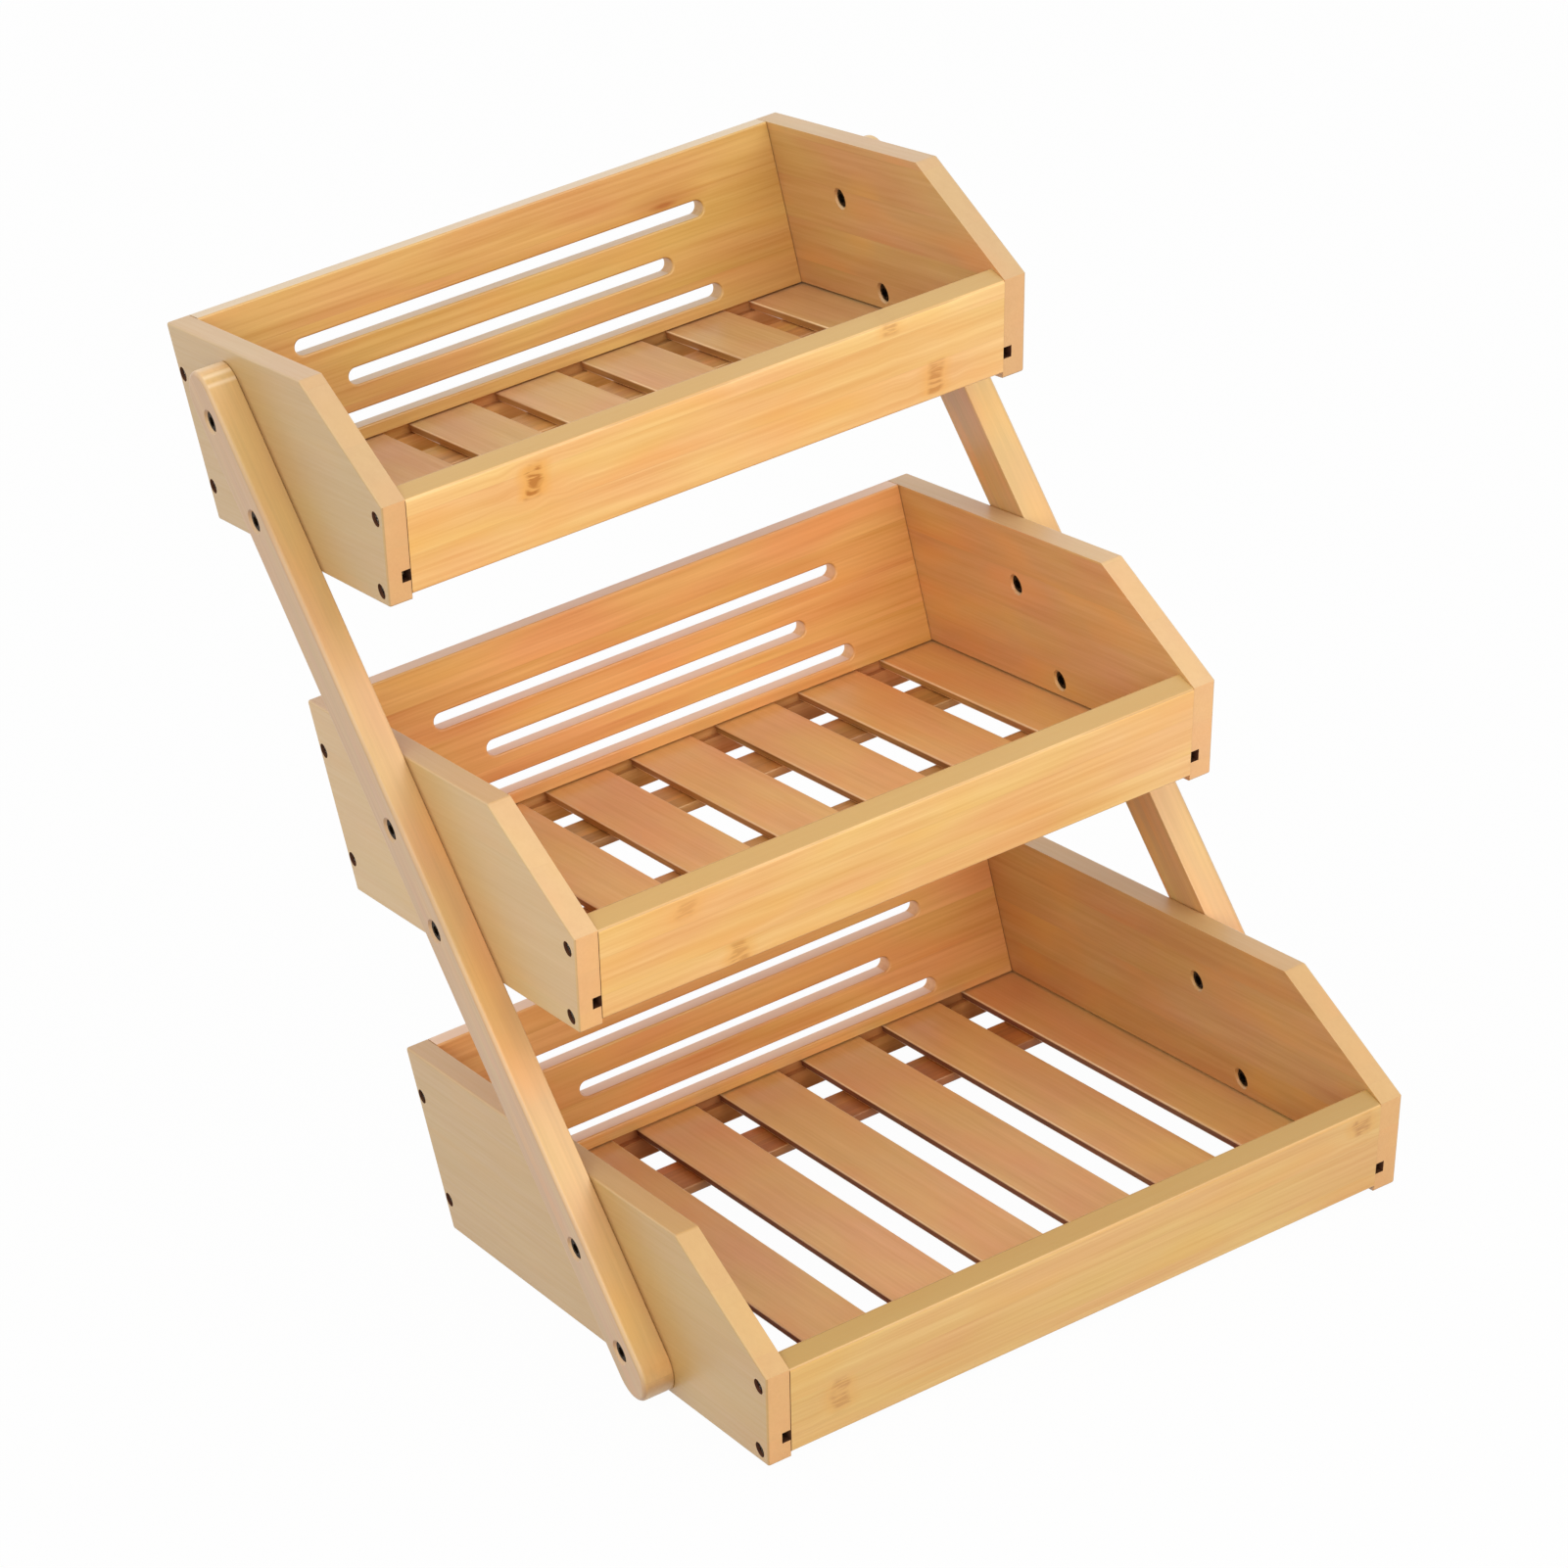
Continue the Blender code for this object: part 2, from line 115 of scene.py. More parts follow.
# Pressed bamboo: strips glued side by side, long straight fibres with a slow drift of tone,
# now and then a knuckle, and a satin lacquer that pales wherever it is seen at a low angle.
def makeBamboo(name, look):
    material, tree, shader = startMaterial(name)
    place = addNode(tree, "TexCoord", out="Object")
    turned = addNode(tree, "Mapping", {"Vector": place, "Rotation": look["turn"],
                                       "Scale": (1000, 1000, 1000)})   # millimetres from here on
    parts = addNode(tree, "SeparateXYZ", {0: turned}).node.outputs
    side, up = (addNode(tree, "SeparateXYZ", {0: place}, out=axis) for axis in (0, 2))
    outside = addNode(tree, "Math", {0: side}, operation="ABSOLUTE")

    # how squarely a face looks along the fibres, across the strips and through the board
    normal = addNode(tree, "NewGeometry", out="Normal")
    facing = addNode(tree, "Mapping", {"Vector": normal, "Rotation": look["turn"]},
                     vector_type="VECTOR")
    facing = [addNode(tree, "Math", {0: part}, operation="ABSOLUTE")
              for part in addNode(tree, "SeparateXYZ", {0: facing}).node.outputs]
    endMask = addNode(tree, "MapRange", {"Value": facing[0], "From Min": 0.72, "From Max": 0.9})

    # each strip has its own tint and its own fibres, and so has each board 100 mm further on
    stripAt = addNode(tree, "Math", {0: parts[1], 1: 1 / look["strip"], 2: look["shift"]},
                      operation="MULTIPLY_ADD")
    strip = addNode(tree, "Math", {0: stripAt}, operation="FLOOR")
    depth = addNode(tree, "Math", {0: parts[2], 1: 100}, operation="SNAP")
    chance = addNode(tree, "CombineXYZ", {0: strip, 1: depth, 2: look["seed"]})
    chance = addNode(tree, "TexWhiteNoise", {"Vector": chance}, out="Color")
    chance = addNode(tree, "SeparateColor", {0: chance}).node.outputs
    slid = addNode(tree, "Math", {0: chance[2], 1: 900, 2: parts[0]}, operation="MULTIPLY_ADD")

    # the fibres swell round the knuckles
    spread = addNode(tree, "CombineXYZ", {0: parts[0], 1: parts[1]})
    swell = 0.0
    for along, across, _, strength in look["knuckles"]:
        away = addNode(tree, "VectorMath", {0: spread, 1: (along, across, 0)}, "Value",
                       operation="DISTANCE")
        bulge = addNode(tree, "MapRange", {"Value": away, "From Min": 30.0, "From Max": 4.0,
                                           "To Max": 14.0 * strength})
        swell = addNode(tree, "Math", {0: swell, 1: bulge}, operation="MAXIMUM")
    ripple = addNode(tree, "VectorMath", {0: spread, 1: (1 / 16, 1 / 9, 1)}, operation="MULTIPLY")
    ripple = addNode(tree, "TexNoise", {"Vector": ripple, "Scale": 1.0, "Detail": 1.0})
    ripple = addNode(tree, "Math", {0: ripple, 1: -0.5})
    bent = addNode(tree, "Math", {0: swell, 1: ripple, 2: parts[1]}, operation="MULTIPLY_ADD")
    drift = addNode(tree, "CombineXYZ", {0: slid, 1: bent, 2: parts[2]})

    def streaks(length, width, detail):
        scaled = addNode(tree, "VectorMath", {0: drift, 1: (1 / length, 1 / width, 1 / width)},
                         operation="MULTIPLY")
        return addNode(tree, "TexNoise", {"Vector": scaled, "Scale": 1.0, "Detail": detail,
                                          "Roughness": 0.6})

    fine = streaks(60, look["fibre"], 2.0)    # vessels, drawn about three times too wide to show
    broad = streaks(150, look["broad"], 2.0)
    clouds = streaks(55, 22.0, 1.0)
    tones = ((fine, look["fineShare"]), (broad, look["broadShare"]),
             (chance[0], look["stripShare"]), (clouds, look["cloudShare"]))
    tone = 0.5 - sum(share for _, share in tones) / 2
    for source, share in tones:
        tone = addNode(tree, "Math", {0: source, 1: share, 2: tone}, operation="MULTIPLY_ADD")
    tone = addNode(tree, "Clamp", {"Value": tone})
    colour = addNode(tree, "Mix", {0: tone, 6: paint(look["dark"]), 7: paint(look["light"])}, 2,
                     data_type="RGBA")
    warmth = addNode(tree, "MapRange", {"Value": clouds, "From Min": 0.5, "From Max": 0.7,
                                        "To Max": look["warmShare"]})
    colour = addNode(tree, "Mix", {0: warmth, 6: colour, 7: paint(look["warm"])}, 2,
                     data_type="RGBA")
    hue = addNode(tree, "MapRange", {
        "Value": streaks(70, 24.0, 1.0), "From Min": 0.3, "From Max": 0.7,
        "To Min": 0.5 - look["hueDrift"], "To Max": 0.5 + look["hueDrift"]})
    colour = addNode(tree, "HueSaturation", {"Hue": hue, "Color": colour})
    layers = []   # what lies over the fibres: a mask, its colour and how it blends

    # glue line between two strips, a few tenths of a millimetre wide
    seam = addNode(tree, "Math", {0: stripAt, 1: 0.5}, operation="PINGPONG")
    seamMask = addNode(tree, "MapRange", {
        "Value": seam, "From Min": look["seamWidth"] / look["strip"], "From Max": 0.0,
        "To Max": look["seamShare"]})
    offEnds = addNode(tree, "MapRange", {"Value": endMask, "To Min": 1.0, "To Max": 0.0})
    seamMask = addNode(tree, "Math", {0: seamMask, 1: offEnds}, operation="MULTIPLY")
    layers.append((seamMask, look["brown"], "MIX"))

    # knuckles: a short dark bar over a warm glow, at the places along and across the board
    # that the photograph shows, with the bar's half height and its strength
    wobble = addNode(tree, "Math", {0: ripple, 1: 8.0}, operation="MULTIPLY")
    dashes = addNode(tree, "MapRange", {"Value": streaks(9.0, 1.5, 1.0), "From Min": 0.42,
                                        "From Max": 0.56, "To Min": 0.15})
    knotMask, glowMask = 0.0, 0.0
    for along, across, reach, strength in look["knuckles"]:
        off = addNode(tree, "VectorMath", {0: turned, 1: (-along, -across, 0)})
        off = addNode(tree, "SeparateXYZ", {0: off}).node.outputs
        aside = addNode(tree, "Math", {0: off[0], 1: wobble})
        aside = addNode(tree, "Math", {0: aside}, operation="ABSOLUTE")
        within = addNode(tree, "Math", {0: off[1]}, operation="ABSOLUTE")
        within = addNode(tree, "MapRange", {"Value": within, "From Min": reach + 2.0,
                                            "From Max": reach - 1.0})
        bar, glow = (addNode(tree, "MapRange", {
            "Value": aside, "From Min": width, "From Max": width * 0.5, "To Max": share})
            for width, share in ((look["barWidth"], strength),
                                 (look["glowWidth"], strength * look["glowShare"])))
        bar = addNode(tree, "Math", {0: bar, 1: dashes}, operation="MULTIPLY")
        bar, glow = (addNode(tree, "Math", {0: mark, 1: within}, operation="MULTIPLY")
                     for mark in (bar, glow))
        knotMask = addNode(tree, "Math", {0: knotMask, 1: bar}, operation="MAXIMUM")
        glowMask = addNode(tree, "Math", {0: glowMask, 1: glow}, operation="MAXIMUM")
    layers.append((glowMask, look["warm"], "MIX"))

    # stains: soft ovals with a place, a half length, a half height and a strength
    for along, across, length, height, strength in look["stains"]:
        off = addNode(tree, "VectorMath", {0: spread, 1: (-along, -across, 0)})
        off = addNode(tree, "VectorMath", {0: off, 1: (1 / length, 1 / height, 0)},
                      operation="MULTIPLY")
        off = addNode(tree, "VectorMath", {0: off}, "Value", operation="LENGTH")
        oval = addNode(tree, "MapRange", {"Value": off, "From Min": 1.0, "From Max": 0.2,
                                          "To Max": strength})
        knotMask = addNode(tree, "Math", {0: knotMask, 1: oval}, operation="MAXIMUM")
    layers.append((knotMask, look["knot"], "MIX"))

    # cut ends show the fibre bundles as fine dots about 0.8 mm across, and a tone for each strip
    dots = addNode(tree, "TexNoise", {"Vector": turned, "Scale": 1.2, "Detail": 1.0})
    dots = addNode(tree, "MapRange", {"Value": dots, "From Min": 0.5, "From Max": 0.66,
                                      "To Max": 0.10})
    dotMask = addNode(tree, "Math", {0: endMask, 1: dots}, operation="MULTIPLY")
    layers.append((dotMask, look["brown"], "MIX"))
    banded = addNode(tree, "Math", {0: chance[0], 1: 2 * look["endBands"],
                                    2: look["endShare"] - look["endBands"]},
                     operation="MULTIPLY_ADD")
    endTint = addNode(tree, "Math", {0: endMask, 1: banded}, operation="MULTIPLY")
    layers.append((endTint, look["end"], "MIX"))

    # painted highlights: pale lines across a rounded end
    for level in look["endHighlightLines"]:
        aside = addNode(tree, "Math", {0: parts[0], 1: -level})
        aside = addNode(tree, "Math", {0: aside}, operation="ABSOLUTE")
        line = addNode(tree, "MapRange", {"Value": aside, "From Min": 1.4, "From Max": 0.3,
                                          "To Max": 0.55})
        onRound = addNode(tree, "MapRange", {"Value": facing[2], "From Min": 0.6,
                                             "From Max": 0.3})
        line = addNode(tree, "Math", {0: line, 1: onRound}, operation="MULTIPLY")
        layers.append((line, look["end"], "MIX"))

    # painted shade greys the outer faces, and faces turned up or down get painted sheen, or painted
    # shade on the front boards
    for kind, source in (("outer", outside), ("topFaceLight", facing[1])):
        if kind in look:
            first, full, share = look[kind + "From"]
            mask = addNode(tree, "MapRange", {"Value": source, "From Min": first,
                                              "From Max": full, "To Max": share})
            layers.append((mask, look[kind], "MIX"))

    # painted shadow: a brown band on the boards along the arm's front edge
    if "armShadow" in look:
        line = look["armShadow"]
        across, along = (addNode(tree, "VectorMath", {0: place, 1: direction}, "Value",
                                 operation="DOT_PRODUCT") for direction in (acrossArm, alongArm))
        mask = line["share"]
        for source, middle, (first, full) in (
                (across, armFront - line["lead"], line["fade"]),
                (along, armMiddle, line["ends"]), (side, 0.0, line["face"])):
            aside = addNode(tree, "Math", {0: source, 1: -middle})
            aside = addNode(tree, "Math", {0: aside}, operation="ABSOLUTE")
            inside = addNode(tree, "MapRange", {"Value": aside, "From Min": first,
                                                "From Max": full})
            mask = addNode(tree, "Math", {0: mask, 1: inside}, operation="MULTIPLY")
        layers.append((mask, look["brown"], "MIX"))

    # painted light: each tray's pieces are filtered darker or cooler, as the light falls on each
    # tray differently
    for tray, filterColour in look["trayLight"].items():
        low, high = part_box(f"{tray}_tray_left_side")
        inTray = addNode(tree, "Math", {0: up, 1: (low[2] + high[2]) / 2,
                                        2: (high[2] - low[2]) / 2 + 0.005}, operation="COMPARE")
        layers.append((inTray, filterColour, "MULTIPLY"))

    # eased edges facing up are tinted paler, partly burnished wear and partly painted highlight,
    # and those facing down darker, as painted shade
    lying = [addNode(tree, "VectorMath", {0: normal, 1: slope}, "Value",
                     operation="DOT_PRODUCT") for slope in look["slopes"]]
    flat = facing[0]
    for source in facing[1:] + lying:
        flat = addNode(tree, "Math", {0: flat, 1: source}, operation="MAXIMUM")
    eased = addNode(tree, "MapRange", {"Value": flat, "From Min": 0.985, "From Max": 0.80})
    lift = addNode(tree, "SeparateXYZ", {0: normal}, out=2)
    patchy = addNode(tree, "MapRange", {"Value": clouds, "From Min": 0.35, "From Max": 0.55,
                                        "To Min": 0.35})
    upward = addNode(tree, "MapRange", {"Value": lift, "From Min": -0.2, "From Max": 0.2,
                                        "To Max": look["wearHighlightShare"]})
    downward = addNode(tree, "MapRange", {"Value": lift, "From Min": -0.1, "From Max": -0.5,
                                          "To Max": look["underShadeShare"]})
    wearHighlight = addNode(tree, "Math", {0: patchy, 1: upward}, operation="MULTIPLY")
    wearHighlight, underShade = (addNode(tree, "Math", {0: eased, 1: share}, operation="MULTIPLY")
                  for share in (wearHighlight, downward))
    layers += [(wearHighlight, look["edge"], "MIX"), (underShade, look["brown"], "MIX")]
    for mask, tint, blend in layers:
        colour = addNode(tree, "Mix", {0: mask, 6: colour, 7: paint(tint)}, 2,
                         data_type="RGBA", blend_type=blend)
    tree.links.new(colour, shader.inputs["Base Color"])

    rough = addNode(tree, "MapRange", {
        "Value": fine, "From Min": 0.3, "From Max": 0.7,
        "To Min": look["rough"] + 0.07, "To Max": look["rough"] - 0.05})
    for mask, change in ((endMask, 0.10), (wearHighlight, -0.12)):
        rough = addNode(tree, "Math", {0: mask, 1: change, 2: rough}, operation="MULTIPLY_ADD")
    tree.links.new(rough, shader.inputs["Roughness"])
    shader.inputs["IOR"].default_value = 1.5
    shader.inputs["Coat Weight"].default_value = look["coat"]
    shader.inputs["Coat Roughness"].default_value = look["coatRough"]

    relief = fine
    for mask, depth in ((seamMask, -1.5), (knotMask, -0.8), (dotMask, -2.0)):
        relief = addNode(tree, "Math", {0: mask, 1: depth, 2: relief}, operation="MULTIPLY_ADD")
    bump = addNode(tree, "Bump", {"Strength": 0.5, "Distance": 0.00012, "Height": relief})
    tree.links.new(bump, shader.inputs["Normal"])
    return material


# Blackened steel bolts: a dark satin skin, a little lighter where it is rubbed.
# Zinc-plated screws: a cooler, brighter skin with fine scratches.
def makeSteel(name, look):
    material, tree, shader = startMaterial(name)
    place = addNode(tree, "TexCoord", out="Object")
    mottle = addNode(tree, "TexNoise", {"Vector": place, "Scale": 900.0, "Detail": 3.0})
    scratches = addNode(tree, "TexNoise", {"Vector": place, "Scale": 4200.0, "Detail": 1.0})
    rubbed = addNode(tree, "MapRange", {"Value": mottle, "From Min": 0.4, "From Max": 0.62})
    colour = addNode(tree, "Mix", {0: rubbed, 6: paint(look["dark"]), 7: paint(look["light"])}, 2,
                     data_type="RGBA")
    tree.links.new(colour, shader.inputs["Base Color"])
    rough = addNode(tree, "MapRange", {
        "Value": scratches, "From Min": 0.3, "From Max": 0.7,
        "To Min": look["rough"] - 0.06, "To Max": look["rough"] + 0.08})
    tree.links.new(rough, shader.inputs["Roughness"])
    shader.inputs["Metallic"].default_value = 1.0
    bump = addNode(tree, "Bump", {"Strength": 0.35, "Distance": 0.00003, "Height": scratches})
    tree.links.new(bump, shader.inputs["Normal"])
    return material


# What every bamboo piece starts from, with lengths in millimetres. A piece may add painted shade
# on its outer faces and painted light on faces turned up or down, with outerFrom and
# topFaceLightFrom: where each one starts, where it is full, its share.
bamboo = {
    "warm": "#E8A350", "brown": "#8A5526", "edge": "#FFE0B0", "knot": "#A8600F",
    "end": "#DFB47F", "endShare": 0.7, "endBands": 0.0,
    "strip": 20.0, "shift": 0.0, "fibre": 1.3, "broad": 5.0,
    "fineShare": 1.0, "broadShare": 1.5, "stripShare": 0.35, "cloudShare": 0.5,
    "warmShare": 0.4, "hueDrift": 0.010, "seamWidth": 0.22, "seamShare": 0.12,
    "barWidth": 4.6, "glowWidth": 9.0, "glowShare": 0.9,
    "wearHighlightShare": 0.25, "underShadeShare": 0.4, "rough": 0.45, "coat": 0.4, "coatRough": 0.32,
    "knuckles": (), "stains": (), "endHighlightLines": (), "slopes": (), "trayLight": {},
}

# Routed and sawn faces were never sanded or sealed: rough and without a sheen. Their dark
# red-brown inside the side boards' grooves and the arms' pockets is painted shade.
rawBamboo = {
    **bamboo, "light": "#6A3B1B", "dark": "#4A2610", "warm": "#5B3015", "brown": "#33190A",
    "end": "#4A2610", "seamShare": 0.0, "wearHighlightShare": 0.0, "underShadeShare": 0.0,
    "rough": 0.8, "coat": 0.0,
}

materials = {
    "bamboo_side_boards": makeBamboo("lacqueredBambooSideBoards", {
        **bamboo, "turn": grainTurn((0, 1, 0), (0, 0, 1)), "shift": 0.35, "seed": 1.0,
        "light": "#DDAE72", "dark": "#CB9657", "end": "#ECB981", "wearHighlightShare": 0.12,
        # painted shade greys the outer faces, and painted sheen pales the tops and chamfers
        "outer": "#C8A76F", "outerFrom": (0.1492, 0.1496, 0.75),
        "topFaceLight": "#D0AD7E", "topFaceLightFrom": (0.45, 0.7, 0.7),
        "trayLight": {"upper": "#F1F1F1", "lower": "#F1ECDC"},
        "slopes": (chamferNormal, frontNormal),
        # a painted shadow beside the arm: it leads the arm's edge a little, and fades in metres
        # away from its middle, past the arm's ends and off the outer face
        "armShadow": {"share": 0.45, "lead": 0.0007, "fade": (0.0036, 0.0006),
                    "ends": (0.226, 0.216), "face": (0.1492, 0.1498)}}),
    "bamboo_back_boards": makeBamboo("lacqueredBambooBackBoards", {
        **bamboo, "turn": grainTurn((1, 0, 0), (0, 0, 1)), "shift": 0.1, "seed": 2.0,
        "light": "#EFB873", "dark": "#D6964C", "knot": "#B5601E", "edge": "#FBE3BC",
        # painted sheen pales the top face and the slots' walls
        "end": "#F0BC80", "wearHighlightShare": 0.06, "topFaceLight": "#EECBAF", "topFaceLightFrom": (0.95, 0.99, 0.8),
        "trayLight": {"upper": "#E7F1E9"},
        "stains": ((84.0, 397.5, 22.0, 7.0, 0.4), (82.0, 395.8, 11.0, 2.6, 0.85))}),
    "bamboo_front_boards": makeBamboo("lacqueredBambooFrontBoards", {
        **bamboo, "turn": grainTurn((1, 0, 0), alongFront), "seed": 3.0, "hueDrift": 0.008,
        # the upward eased edges here are tinted darker, as painted shade
        "light": "#F2C987", "dark": "#E1AB65", "warm": "#E8A84F", "edge": "#BE9050",
        # painted shade darkens the top faces
        "wearHighlightShare": 0.9, "topFaceLight": "#B99355", "topFaceLightFrom": (0.85, 0.95, 0.9),
        "trayLight": {"lower": "#E9E7D7"},
        "knuckles": ((-82.7, 335.3, 8.0, 0.75), (105.9, 311.8, 8.0, 0.5),
                     (84.5, 345.6, 3.0, 0.4), (-76.9, 193.0, 6.0, 0.4),
                     (-100.5, 228.0, 4.0, 0.25), (-117.0, 92.0, 9.0, 0.38),
                     (131.0, 112.0, 5.0, 0.5))}),
    "bamboo_slats": makeBamboo("lacqueredBambooSlats", {
        **bamboo, "turn": grainTurn((0, 1, 0), (1, 0, 0)), "shift": 0.5, "seed": 4.0,
        "strip": 42.733,   # from one slat to the next, so that each is one strip
        "light": "#F2BE7C", "dark": "#DCA361", "warm": "#E7A85E", "seamShare": 0.0,
        "wearHighlightShare": 1.0, "fineShare": 0.7, "broadShare": 1.0,
        "trayLight": {"upper": "#E7EDFF", "lower": "#F5F5F5"}}),
    # the cross strips are coloured darker than the slats, as painted shade under the slats
    "bamboo_crossbars": makeBamboo("lacqueredBambooCrossStrips", {
        **bamboo, "turn": grainTurn((1, 0, 0), (0, 1, 0)), "seed": 5.0,
        "light": "#CC9452", "dark": "#A5703A", "seamShare": 0.0,
        "trayLight": {"lower": "#F3D6BE"}}),
    "bamboo_arms": makeBamboo("lacqueredBambooArms", {
        **bamboo, "turn": grainTurn(alongArm, acrossArm), "strip": 5.3, "seed": 6.0,
        "light": "#DAAB6C", "dark": "#C79D62", "outer": "#AF8D71",
        # painted shade greys the outer faces
        "outerFrom": (0.1628, 0.1634, 0.5), "end": "#EFD3AC", "endShare": 0.4,
        # painted highlights across the head, at these levels along the arm
        "endBands": 0.2, "endHighlightLines": (416.6, 412.3)}),
    # dark lining for grooves, screw pockets, arm pockets and the front boards' ends, as painted
    # shade
    "recess_shade_lengthwise": makeBamboo("recessShadeLengthwise", {
        **rawBamboo, "turn": grainTurn((0, 1, 0), (0, 0, 1)), "seed": 7.0}),
    "routed_crosswise": makeBamboo("routedBambooCrosswise", {
        **rawBamboo, "turn": grainTurn((1, 0, 0), (0, 0, 1)), "seed": 8.0,
        "light": "#E0A566", "dark": "#BE803E", "trayLight": {"lower": "#F9E1CB"}}),
    # the slats' side faces, darkened as painted shade between the slats, and darker again in the
    # lower tray
    "sawn_sides": makeBamboo("slatSidesPaintedShade", {
        **rawBamboo, "turn": grainTurn((0, 1, 0), (0, 0, 1)), "seed": 9.0,
        "light": "#C38B46", "dark": "#915D2B", "trayLight": {"lower": "#C4A6B7"}}),
    "dark_steel": makeSteel("blackenedSteelBolts", {
        "dark": "#1E160E", "light": "#3C2E1E", "rough": 0.6}),
    "zinc_screws": makeSteel("zincPlatedScrews", {
        "dark": "#5A534B", "light": "#CFC9BF", "rough": 0.28}),
}
print("materials made:", len(materials))


def addBlock(name, low, high, turn=(0, 0, 0)):
    # a cube at the piece's own size and place
    low, high = Vector(low), Vector(high)
    bpy.ops.object.select_all(action="DESELECT")
    bpy.ops.mesh.primitive_cube_add(size=1, location=(low + high) / 2, rotation=turn,
                                    scale=high - low)
    return settle(name)


def addRod(name, radius, startX, endX, back, up, sides, turn=0.0):
    # a cylinder along X, turned about its own line so that an edge, not a corner, meets the turn
    turned = Matrix.Rotation(turn + math.pi / sides, 4, "X") @ Matrix.Rotation(math.pi / 2, 4, "Y")
    bpy.ops.object.select_all(action="DESELECT")
    bpy.ops.mesh.primitive_cylinder_add(
        vertices=sides, radius=radius / math.cos(math.pi / sides), depth=abs(endX - startX),
        location=((startX + endX) / 2, back, up), rotation=turned.to_euler())
    return settle(name)


def settle(name):
    # the place goes into the mesh, and the object stays at the origin
    bpy.ops.object.transform_apply(location=True, rotation=True, scale=True)
    bpy.context.object.name = name
    bpy.context.object.data.name = name
    return bpy.context.object


def takeUp(piece):
    bpy.ops.object.select_all(action="DESELECT")
    piece.select_set(True)
    bpy.context.view_layer.objects.active = piece


def pick(piece, kind, test):
    # edit mode, with the faces, edges or corners selected whose middle passes the test
    takeUp(piece)
    bpy.ops.object.mode_set(mode="EDIT")
    bpy.ops.mesh.select_mode(type=kind)
    bpy.ops.mesh.select_all(action="DESELECT")
    mesh = bmesh.from_edit_mesh(piece.data)
    if kind == "VERT":
        for vert in mesh.verts:
            vert.select_set(test(vert.co))
    elif kind == "EDGE":
        for edge in mesh.edges:
            edge.select_set(test((edge.verts[0].co + edge.verts[1].co) / 2))
    else:
        for face in mesh.faces:
            face.select_set(test(face.calc_center_median()))
    mesh.select_flush_mode()
    bmesh.update_edit_mesh(piece.data)


def sliceOff(piece, point, normal):
    # everything on the normal's side is cut away, and the cut is closed
    takeUp(piece)
    bpy.ops.object.mode_set(mode="EDIT")
    bpy.ops.mesh.select_all(action="SELECT")
    bpy.ops.mesh.bisect(plane_co=point, plane_no=normal, use_fill=True, clear_outer=True)
    bpy.ops.object.mode_set(mode="OBJECT")


def easeEdges(piece, segments, *eases):
    # each ease is a width and a test for the middles of the edges that get it
    widest = max(width for width, test in eases)
    for width, test in eases:
        pick(piece, "EDGE", test)
        bpy.ops.transform.edge_bevelweight(value=width / widest)
        bpy.ops.object.mode_set(mode="OBJECT")
    takeUp(piece)
    bpy.ops.object.modifier_add(type="BEVEL")
    bevel = piece.modifiers[-1]
    bevel.width = widest
    bevel.segments = segments
    bevel.limit_method = "WEIGHT"
    bpy.ops.object.modifier_apply(modifier=bevel.name)


def roundOver(piece, width, segments, test):
    pick(piece, "EDGE", test)
    bpy.ops.mesh.bevel(offset=width, segments=segments, affect="EDGES", loop_slide=False)
    bpy.ops.object.mode_set(mode="OBJECT")


def joinUp(parts):
    takeUp(parts[0])
    for part in parts:
        part.select_set(True)
    if len(parts) > 1:
        bpy.ops.object.join()
    return parts[0]


def dress(piece, *names):
    for name in names:
        piece.data.materials.append(materials[name])
    return piece


def wearSecond(piece, test):
    # the faces whose middle passes the test wear the piece's second material
    pick(piece, "FACE", test)
    piece.active_material_index = 1
    bpy.ops.object.material_slot_assign()
    bpy.ops.object.mode_set(mode="OBJECT")


def cutAway(piece, cutters, lining=None):
    # the faces of the cut wear the lining, where one is given
    tool = joinUp(cutters)
    if lining:
        dress(tool, lining)
    takeUp(piece)
    bpy.ops.object.modifier_add(type="BOOLEAN")
    trim = piece.modifiers[-1]
    trim.operation = "DIFFERENCE"
    trim.solver = "EXACT"
    trim.material_mode = "TRANSFER"
    trim.object = tool
    bpy.ops.object.modifier_apply(modifier=trim.name)
    bpy.data.objects.remove(tool, do_unlink=True)


def flareOut(piece, atX, reach, radius, spot):
    # the rod's end at atX is drawn on by twice the reach and widened, as a countersink
    pick(piece, "FACE", lambda at: abs(at.x - atX) < near)
    bpy.ops.mesh.extrude_region_move(TRANSFORM_OT_translate={"value": (2 * reach, 0, 0)})
    grow = 1 + 2 * abs(reach) / radius
    bpy.ops.transform.resize(value=(1, grow, grow),
                             center_override=(atX + 2 * reach, spot.y, spot.z))
    bpy.ops.object.mode_set(mode="OBJECT")


def softShade(piece):
    # flat faces stay flat and only the eased edges roll over
    takeUp(piece)
    bpy.ops.object.shade_smooth_by_angle(angle=math.radians(32))
    bpy.ops.object.modifier_add(type="WEIGHTED_NORMAL")
    piece.modifiers[-1].keep_sharp = True
    bpy.ops.object.modifier_apply(modifier=piece.modifiers[-1].name)


def finishPiece(piece, slot, *nodes):
    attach(piece, body)
    if nodes:
        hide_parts(*nodes)


def copyOf(piece, name, shift):
    # its own mesh, shifted and settled
    takeUp(piece)
    bpy.ops.object.duplicate(linked=False)
    bpy.context.object.location = shift
    return settle(name)


def mirrored(piece, name):
    # the other hand of a piece, over the middle of the stand
    takeUp(piece)
    bpy.ops.object.duplicate(linked=False)
    bpy.context.object.scale = (-1, 1, 1)
    twin = settle(name)
    bpy.ops.object.mode_set(mode="EDIT")
    bpy.ops.mesh.select_all(action="SELECT")
    bpy.ops.mesh.normals_make_consistent(inside=False)
    bpy.ops.object.mode_set(mode="OBJECT")
    softShade(twin)
    return twin


